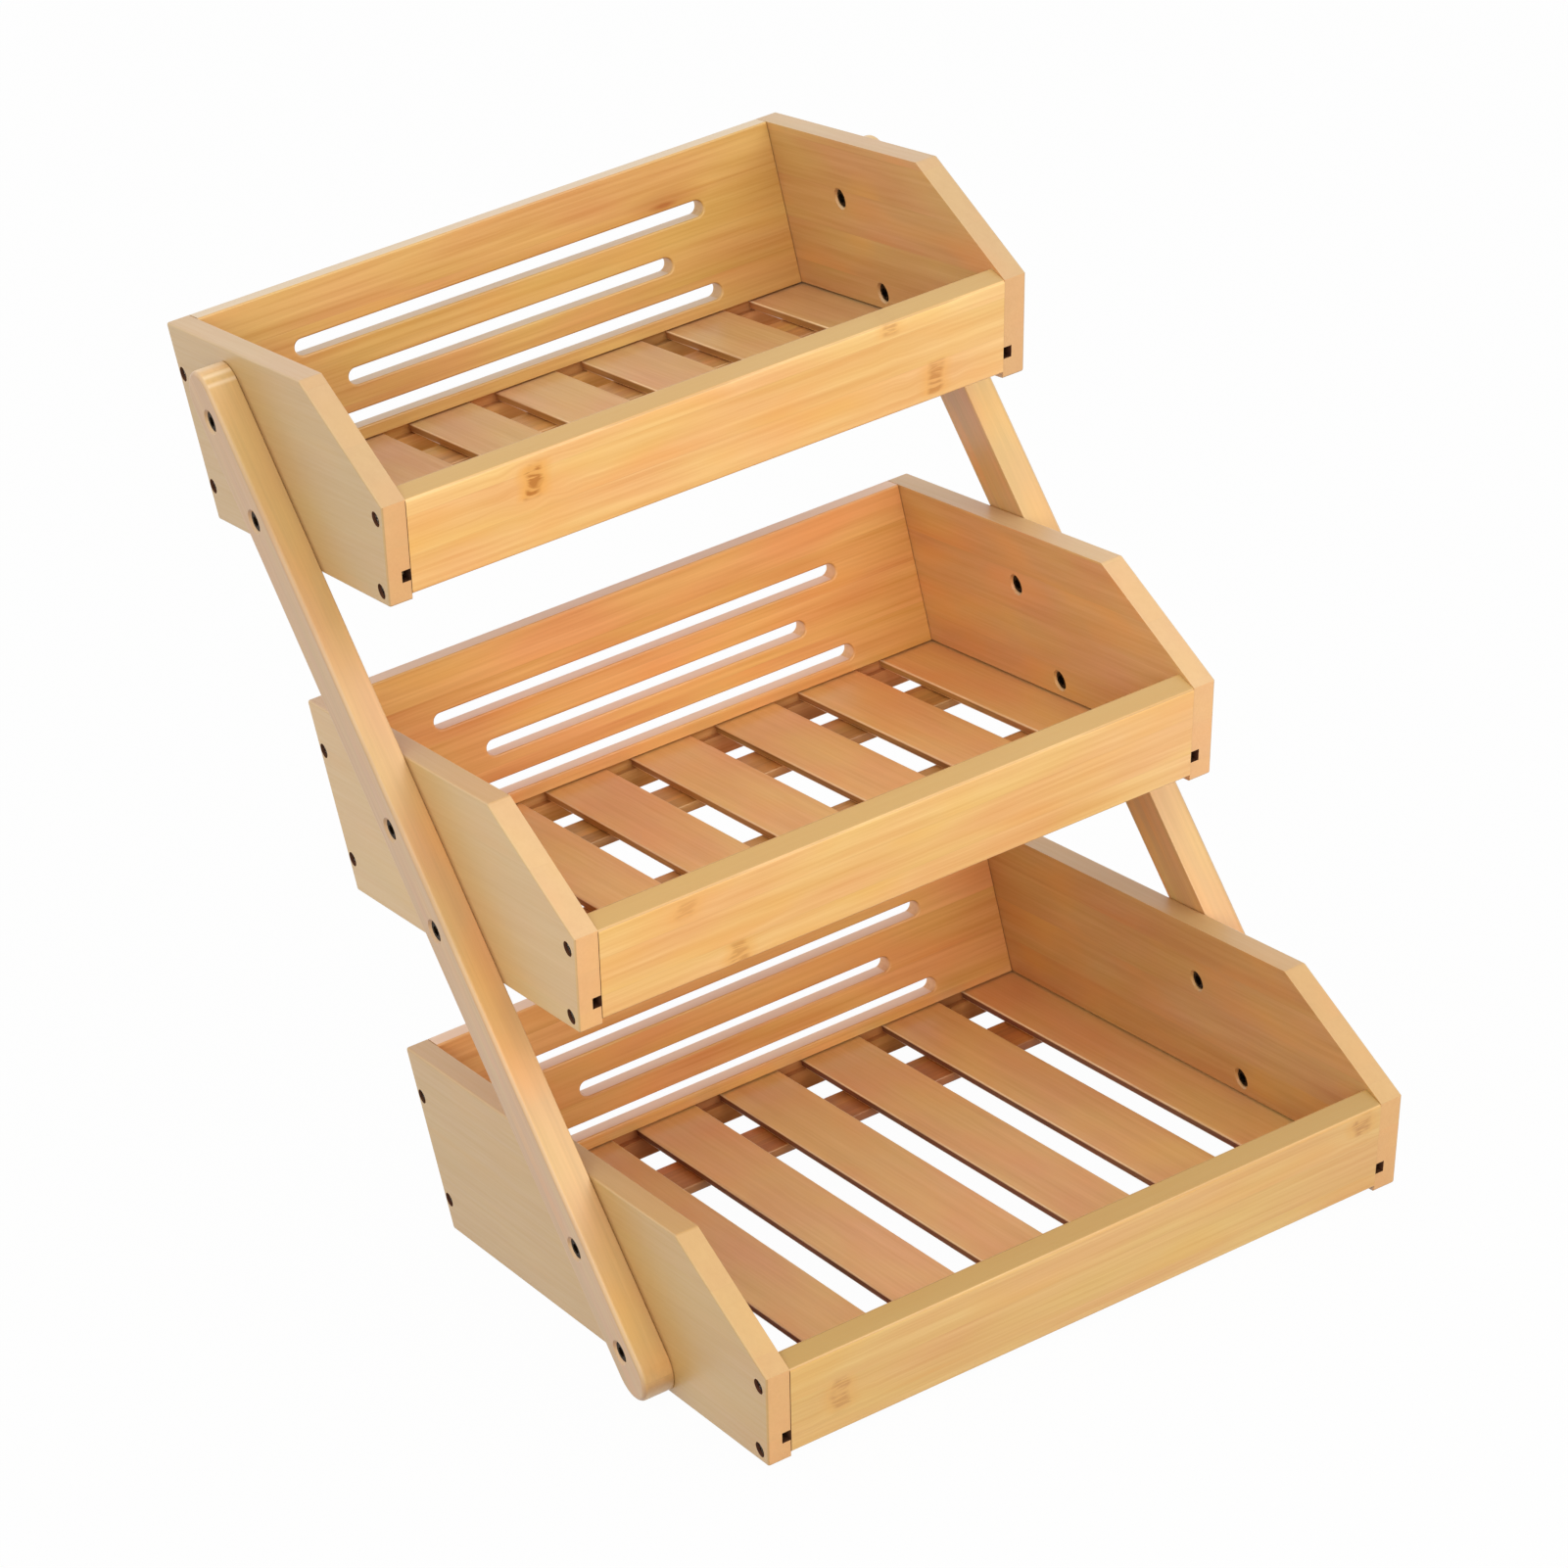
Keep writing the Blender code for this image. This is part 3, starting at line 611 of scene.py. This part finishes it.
def middleOf(node):
    low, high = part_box(node)
    return (Vector(low) + Vector(high)) / 2


def runsAcross(at):
    # an edge that runs from side to side has its middle on the middle of the stand
    return abs(at.x) < near


def floorGroove(tray, lowX, highX, lowY, highY):
    # cutter for a groove that takes the slats' edges or ends, with room under and over them
    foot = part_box(f"{tray}_tray_left_side")[0][2]
    under, over = 0.0004, 0.0009
    return addBlock("groove", (lowX, lowY, foot + slatLow - under),
                    (highX, highY, foot + slatHigh + over))


sideBoard = {
    "lipReach": 0.020, "lipHeight": 0.047,      # the front leans out to here
    "outerEase": 0.0011, "crossEase": 0.0009, "tipEase": 0.0030, "innerEase": 0.0002,
    "easeSegments": 4, "grooveDepth": 0.004, "holeSides": 32,
    "sleeveRadius": 0.0041, "rim": 0.0008,      # hole for the sleeve nut, and its chamfer
    "seatRadius": 0.0033, "seatDepth": 0.0022,  # pocket for a wood screw
    # screws' levels over the foot, and how far through the board's thickness they stand
    "frontScrews": (0.0062, 0.0404), "frontShare": 0.62,
    "backScrews": (0.0161, 0.0674), "backShare": 0.45,
}


def screwPlaces(tray):
    low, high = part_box(f"{tray}_tray_left_side")
    foot = low[1] + sideBoard["lipReach"]
    slant = boardThickness / math.cos(frontLean)
    places = [(foot + slant * sideBoard["frontShare"] - level * math.tan(frontLean), low[2] + level)
              for level in sideBoard["frontScrews"]]
    return places + [(high[1] - boardThickness * sideBoard["backShare"], low[2] + level)
                     for level in sideBoard["backScrews"]]


def addSideBoard(tray):
    node = f"{tray}_tray_left_side"
    low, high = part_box(node)
    foot = low[1] + sideBoard["lipReach"]
    inner, rim, sides = high[0], sideBoard["rim"], sideBoard["holeSides"]
    board = dress(addBlock(f"{tray}LeftSideBoard", low, high), "bamboo_side_boards")
    sliceOff(board, (0, foot, low[2]), (0, -sideBoard["lipHeight"], -sideBoard["lipReach"]))
    sliceOff(board, (0, low[1], low[2] + sideBoard["lipHeight"]), chamferNormal)
    easeEdges(board, sideBoard["easeSegments"],
              (sideBoard["outerEase"], lambda at: at.x < low[0] + near),
              (sideBoard["tipEase"], lambda at: abs(at.x) < inner - near and at.y < low[1] + near),
              (sideBoard["crossEase"], lambda at: (
                  low[0] + near < at.x < inner - near and at.y > low[1] + near)),
              (sideBoard["innerEase"], lambda at: at.x > inner - near))
    holes = []
    for height in ("low", "high"):
        spot = middleOf(f"{tray}_tray_left_{height}_bolt")
        hole = addRod("hole", sideBoard["sleeveRadius"], low[0] - past, inner - rim,
                      spot.y, spot.z, sides)
        flareOut(hole, inner - rim, rim, sideBoard["sleeveRadius"], spot)
        holes.append(hole)
    cutAway(board, holes)
    hollows = [floorGroove(tray, inner - sideBoard["grooveDepth"], inner + 2 * past,
                           low[1] - past, high[1] + past)]
    for back, up in screwPlaces(tray):
        hollows.append(addRod("seat", sideBoard["seatRadius"], low[0] - past,
                              low[0] + sideBoard["seatDepth"], back, up, sides))
    # the groove and the screw pockets are lined dark, as painted shade
    cutAway(board, hollows, "recess_shade_lengthwise")
    softShade(board)
    other = mirrored(board, f"{tray}RightSideBoard")
    finishPiece(board, "bamboo_side_boards", node)
    finishPiece(other, "bamboo_side_boards", f"{tray}_tray_right_side")


for tray in trays:
    addSideBoard(tray)
print("side boards: grooved, bored and eased")


backBoard = {
    "ease": 0.0009, "easeSegments": 4, "grooveDepth": 0.004,
    "slotHeight": 0.0074, "slotSides": 32, "frontRim": 0.0010, "rearRim": 0.0018,
    # each slot's level over the foot, and its length
    "slots": ((0.0628, 0.201), (0.0426, 0.160), (0.0240, 0.201)),
}


def addSlotCutter(level, length, low, high):
    # a short round bar through the board, whose two halves are drawn apart
    radius, sides = backBoard["slotHeight"] / 2, backBoard["slotSides"]
    turned = Matrix.Rotation(math.pi / 2, 4, "X") @ Matrix.Rotation(math.pi / sides, 4, "Z")
    bpy.ops.object.select_all(action="DESELECT")
    bpy.ops.mesh.primitive_cylinder_add(
        vertices=sides, radius=radius / math.cos(math.pi / sides),
        depth=high[1] - low[1] + 2 * past,
        location=(0, (low[1] + high[1]) / 2, low[2] + level), rotation=turned.to_euler())
    bar = settle("slot")
    for hand in (-1, 1):
        pick(bar, "VERT", lambda at: at.x * hand > 0)
        bpy.ops.transform.translate(value=(hand * (length / 2 - radius), 0, 0))
        bpy.ops.object.mode_set(mode="OBJECT")
    return bar


def onSlot(at, height, length):
    # whether a point lies on the slot's outline
    radius = backBoard["slotHeight"] / 2
    beyond = max(0, abs(at.x) - (length / 2 - radius))
    return abs(math.hypot(beyond, at.z - height) - radius) < touching


def addBackBoard(tray):
    node = f"{tray}_tray_back"
    low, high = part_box(node)
    board = dress(addBlock(f"{tray}BackBoard", low, high),
                  "bamboo_back_boards", "routed_crosswise")
    easeEdges(board, backBoard["easeSegments"], (backBoard["ease"], runsAcross))
    cutAway(board, [addSlotCutter(level, length, low, high)
                    for level, length in backBoard["slots"]])
    for level, length in backBoard["slots"]:
        for face, rim in ((low[1], backBoard["frontRim"]), (high[1], backBoard["rearRim"])):
            roundOver(board, rim, backBoard["easeSegments"], lambda at: (
                abs(at.y - face) < touching and onSlot(at, low[2] + level, length)))
    cutAway(board, [floorGroove(tray, low[0] - past, high[0] + past, low[1] - 2 * past,
                                low[1] + backBoard["grooveDepth"])], "routed_crosswise")
    # the lip under the groove wears the groove's lining, which is darker in the lower tray as
    # painted shade
    wearSecond(board, lambda at: at.y < low[1] + near and at.z < low[2] + slatLow)
    softShade(board)
    finishPiece(board, "bamboo_back_boards", node)


for tray in trays:
    addBackBoard(tray)
print("back boards: slotted and grooved")


frontBoard = {
    "ease": 0.0014, "easeSegments": 4, "grooveDepth": 0.004,
    "fill": 0.00025,   # closes the hairline gap to each side board
    "thickness": {"lower": 0.0115, "middle": 0.0121, "upper": 0.0111},   # as the top edges show
}


def addFrontBoard(tray):
    node = f"{tray}_tray_front"
    low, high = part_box(node)
    thickness = frontBoard["thickness"][tray]
    centre = (Vector(low) + Vector(high)) / 2 - frontNormal * (thickness - boardThickness) / 2
    height = (high[2] - low[2] - boardThickness * math.sin(frontLean)) / math.cos(frontLean)
    half = Vector((high[0] - low[0] + 2 * frontBoard["fill"], thickness, height)) / 2
    board = addBlock(f"{tray}FrontBoard", centre - half, centre + half, (frontLean, 0, 0))
    dress(board, "bamboo_front_boards", "recess_shade_lengthwise")
    easeEdges(board, frontBoard["easeSegments"], (frontBoard["ease"], runsAcross))
    # the ends against the side boards are dark, as painted shade in the seams
    wearSecond(board, lambda at: abs(at.x) > half.x - near)
    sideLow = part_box(f"{tray}_tray_left_side")[0]
    rear = (sideLow[1] + sideBoard["lipReach"] + boardThickness / math.cos(frontLean)
            - slatLow * math.tan(frontLean))   # the board's rear face at the slats
    cutAway(board, [floorGroove(tray, low[0] - past, high[0] + past,
                                rear - frontBoard["grooveDepth"], rear + 2 * past)],
            "routed_crosswise")
    softShade(board)
    finishPiece(board, "bamboo_front_boards", node)


for tray in trays:
    addFrontBoard(tray)
print("front boards: leaning and grooved")


floorPieces = {
    "ease": 0.0008, "easeSegments": 3, "slats": 7,
    # how much further back some cross strips reach
    "reach": {"middle_tray_front_crossbar": 0.0008, "upper_tray_front_crossbar": 0.0055,
              "upper_tray_rear_crossbar": 0.0030},
}


def addStrip(name, low, high, *looks):
    strip = dress(addBlock(name, low, high), *looks)
    easeEdges(strip, floorPieces["easeSegments"], (floorPieces["ease"], lambda at: True))
    return strip


def addFloor(tray):
    firstLow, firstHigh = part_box(f"{tray}_tray_slat_1")
    slat = addStrip(f"{tray}Slat1", firstLow, firstHigh, "bamboo_slats", "sawn_sides")
    # the side faces wear the darker material, as painted shade between the slats
    wearSecond(slat, lambda at: not firstLow[0] + touching < at.x < firstHigh[0] - touching)
    softShade(slat)
    slats = [slat]
    for number in range(2, floorPieces["slats"] + 1):
        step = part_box(f"{tray}_tray_slat_{number}")[0][0] - firstLow[0]
        slats.append(copyOf(slat, f"{tray}Slat{number}", (step, 0, 0)))
    for number, slat in enumerate(slats, 1):
        finishPiece(slat, "bamboo_slats", f"{tray}_tray_slat_{number}")
    for end in ("front", "rear"):
        node = f"{tray}_tray_{end}_crossbar"
        low, high = (Vector(corner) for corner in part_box(node))
        high.y += floorPieces["reach"].get(node, 0.0)
        crossStrip = addStrip(f"{tray}{end.title()}CrossStrip", low, high, "bamboo_crossbars")
        softShade(crossStrip)
        finishPiece(crossStrip, "bamboo_crossbars", node)


for tray in trays:
    addFloor(tray)
print("floors: slats and cross strips")


arm = {
    "width": 0.0264, "outerEase": 0.0022, "innerEase": 0.0006, "easeSegments": 4,
    "gap": 0.00005,   # to the side boards
    "headRadius": 0.0045, "headDepth": 0.0041, "rim": 0.0011, "shankRadius": 0.0033,
    "roundSides": 48, "headSides": 32, "shankSides": 24,
}


def addArms():
    # a round disc at the foot, drawn out along the tilt to the head
    node = "left_arm"
    low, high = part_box(node)
    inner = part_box("lower_tray_left_side")[0][0] - arm["gap"]
    radius, rim = arm["width"] / 2, arm["rim"]
    direction = Vector((0, math.tan(armTilt), 1)) * (high[2] - low[2] - 2 * radius)
    foot = Vector((0, low[1] + radius, low[2] + radius))
    bar = addRod("leftArm", radius, low[0], inner, foot.y, foot.z, arm["roundSides"], -armTilt)
    dress(bar, "bamboo_arms")
    pick(bar, "VERT", lambda at: (at - foot).dot(direction) > 0)
    bpy.ops.transform.translate(value=direction)
    bpy.ops.object.mode_set(mode="OBJECT")
    for face, ease in ((low[0], arm["outerEase"]), (inner, arm["innerEase"])):
        roundOver(bar, ease, arm["easeSegments"], lambda at: abs(at.x - face) < touching)
    shanks, pockets = [], []
    for tray in trays:
        for height in ("low", "high"):
            spot = middleOf(f"{tray}_tray_left_{height}_bolt")
            shanks.append(addRod("through", arm["shankRadius"], low[0] + past / 2, inner + past,
                                 spot.y, spot.z, arm["shankSides"]))
            pocket = addRod("pocket", arm["headRadius"], low[0] + rim, low[0] + arm["headDepth"],
                            spot.y, spot.z, arm["headSides"])
            flareOut(pocket, low[0] + rim, -rim, arm["headRadius"], spot)
            # the chamfer is lacquered as the arm is, and the pocket itself is raw and dark, as
            # painted shade
            dress(pocket, "bamboo_arms", "recess_shade_lengthwise")
            wearSecond(pocket, lambda at: at.x > low[0] + rim + near)
            pockets.append(pocket)
    cutAway(bar, pockets)
    cutAway(bar, shanks)
    softShade(bar)
    other = mirrored(bar, "rightArm")
    finishPiece(bar, "bamboo_arms", node)
    finishPiece(other, "bamboo_arms", "right_arm")


addArms()
print("arms: round-ended, bored for six bolts each")


bolt = {
    "headRadius": 0.0042, "headThickness": 0.0030, "shankRadius": 0.0030,
    "sleeveRadius": 0.0038, "sides": 32, "rimEase": 0.0005, "easeSegments": 3,
    "socketRadius": 0.0024, "socketDepth": 0.0022,
}


def addBolt(name, node):
    # head first, then the shank and the sleeve drawn out of it
    low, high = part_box(node)
    spot = middleOf(node)
    radius, at = bolt["headRadius"], low[0] + bolt["headThickness"]
    shape = dress(addRod(name, radius, low[0], at, spot.y, spot.z, bolt["sides"]), "dark_steel")
    for nextRadius, nextAt in ((bolt["shankRadius"], outerFace), (bolt["sleeveRadius"], high[0])):
        pick(shape, "FACE", lambda face: abs(face.x - at) < touching)
        bpy.ops.mesh.extrude_region_move(TRANSFORM_OT_translate={"value": (0, 0, 0)})
        grow = nextRadius / radius
        bpy.ops.transform.resize(value=(1, grow, grow), center_override=(at, spot.y, spot.z))
        bpy.ops.mesh.extrude_region_move(TRANSFORM_OT_translate={"value": (nextAt - at, 0, 0)})
        bpy.ops.object.mode_set(mode="OBJECT")
        radius, at = nextRadius, nextAt
    roundOver(shape, bolt["rimEase"], bolt["easeSegments"],
              lambda edge: not low[0] + touching <= edge.x <= high[0] - touching)
    hexRadius = bolt["socketRadius"] * math.cos(math.pi / 6)
    cutAway(shape, [addRod("socket", hexRadius, startX, endX, spot.y, spot.z, 6)
                    for startX, endX in ((low[0] - past / 2, low[0] + bolt["socketDepth"]),
                                         (high[0] - bolt["socketDepth"], high[0] + past / 2))])
    softShade(shape)
    return shape, spot


def addBolts():
    firstBolt, firstSpot = addBolt("lowerLeftLowBolt", "lower_tray_left_low_bolt")
    patterns = (("left", firstBolt), ("right", mirrored(firstBolt, "lowerRightLowBolt")))
    for tray in trays:
        for side, piece in patterns:
            for height in ("low", "high"):
                node = f"{tray}_tray_{side}_{height}_bolt"
                shift = middleOf(node) - firstSpot
                shift.x = 0
                first = tray == "lower" and height == "low"
                name = f"{tray}{side.title()}{height.title()}Bolt"
                finishPiece(piece if first else copyOf(piece, name, shift), "dark_steel", node)


addBolts()
print("bolts and sleeve nuts: 12")


screw = {
    "radius": 0.0031, "thickness": 0.0010, "sides": 24, "rimEase": 0.0003, "easeSegments": 3,
    "sunk": 0.0011,   # how far its head lies under the board's face
    "crossWidth": 0.0009, "crossLength": 0.0040, "crossDepth": 0.0007,
}


def addScrew(name, back, up):
    top = outerFace + screw["sunk"]
    head = addRod(name, screw["radius"], top, top + screw["thickness"], back, up, screw["sides"])
    dress(head, "zinc_screws")
    roundOver(head, screw["rimEase"], screw["easeSegments"], lambda at: at.x < top + touching)
    long, wide = screw["crossLength"] / 2, screw["crossWidth"] / 2
    for reachBack, reachUp in ((long, wide), (wide, long)):
        cutAway(head, [addBlock("cross", (top - past / 2, back - reachBack, up - reachUp),
                                (top + screw["crossDepth"], back + reachBack, up + reachUp))])
    softShade(head)
    return head


def addScrews():
    firstBack, firstUp = screwPlaces("lower")[0]
    firstScrew = addScrew("lowerLeftScrew1", firstBack, firstUp)
    patterns = (("Left", firstScrew), ("Right", mirrored(firstScrew, "lowerRightScrew1")))
    for tray in trays:
        for number, (back, up) in enumerate(screwPlaces(tray), 1):
            for side, piece in patterns:
                if tray != "lower" or number != 1:
                    piece = copyOf(piece, f"{tray}{side}Screw{number}",
                                   (0, back - firstBack, up - firstUp))
                finishPiece(piece, "dark_steel")


addScrews()
print("wood screws: 24")


# a pale floor, a white surround that gives most of the light, and three soft lamps in front
studio = {
    "floorColour": "#C4C2BE",
    "floorShare": 0.975,   # how far the eye sees white over the floor's shadow
    "surround": 0.92,
    "lamps": {
        "high": {"power": 16.0, "size": (1.8, 1.4), "place": (0.75, -2.3, 1.75)},
        "low": {"power": 12.0, "size": (1.2, 1.0), "place": (0.5, -2.6, 0.85)},
        "left": {"power": 20.0, "size": (1.4, 1.2), "place": (-1.6, -2.0, 1.1)},
    },
}


def seenDirectly(tree):
    paths = addNode(tree, "LightPath").node.outputs
    seen = addNode(tree, "Math", {0: paths["Is Camera Ray"], 1: paths["Is Glossy Ray"]},
                   operation="MAXIMUM")
    return addNode(tree, "Math", {0: seen, 1: paths["Is Transmission Ray"]}, operation="MAXIMUM")


def addStudio():
    bpy.ops.object.select_all(action="DESELECT")
    bpy.ops.mesh.primitive_plane_add(size=14, location=(0, 0, -0.0002))
    floor = bpy.context.object
    floor.name = "studioFloor"
    material, tree, shader = startMaterial("paleStudioFloor")
    shader.inputs["Base Color"].default_value = paint(studio["floorColour"])
    shader.inputs["Roughness"].default_value = 0.9
    share = addNode(tree, "Math", {0: seenDirectly(tree), 1: studio["floorShare"]},
                    operation="MULTIPLY")
    white = addNode(tree, "Emission", {"Color": (1, 1, 1, 1), "Strength": 1.0})
    mix = addNode(tree, "MixShader", {0: share, 1: shader.outputs[0], 2: white})
    tree.links.new(mix, tree.nodes["Material Output"].inputs["Surface"])
    floor.data.materials.append(material)

    world = bpy.data.worlds.new("whiteSurround")
    bpy.context.scene.world = world
    world.use_nodes = True
    tree = world.node_tree
    soft = tree.nodes["Background"]
    soft.inputs["Color"].default_value = (1, 1, 1, 1)
    soft.inputs["Strength"].default_value = studio["surround"]
    white = addNode(tree, "Background", {"Color": (1, 1, 1, 1), "Strength": 1.0})
    mix = addNode(tree, "MixShader", {0: seenDirectly(tree), 1: soft.outputs[0], 2: white})
    tree.links.new(mix, tree.nodes["World Output"].inputs["Surface"])

    for name, lampPlan in studio["lamps"].items():
        bpy.ops.object.light_add(type="AREA", location=lampPlan["place"])
        lamp = bpy.context.object
        lamp.name = name + "Lamp"
        lamp.data.shape = "RECTANGLE"
        lamp.data.size, lamp.data.size_y = lampPlan["size"]
        lamp.data.energy = lampPlan["power"]
        aim = Vector((0, 0, 0.2)) - lamp.location
        lamp.rotation_euler = aim.to_track_quat("-Z", "Y").to_euler()


addStudio()
print("studio lit")


# where the photograph was taken from
camera = {
    "place": (-0.80838, -1.87696, 0.98580),
    "turn": (68.323, 12.137, -27.999),   # degrees about X, Y and Z; the picture is rolled
    "lens": 120.152,                     # millimetres on a 36 mm square
}

bpy.ops.object.camera_add(location=camera["place"],
                          rotation=[math.radians(angle) for angle in camera["turn"]])
viewer = bpy.context.object
viewer.name = "photoCamera"
viewer.data.lens = camera["lens"]
viewer.data.sensor_width = 36
viewer.data.clip_start = 0.1
viewer.data.clip_end = 50
bpy.context.scene.camera = viewer
bpy.context.scene.view_settings.view_transform = "Standard"
print("camera set")
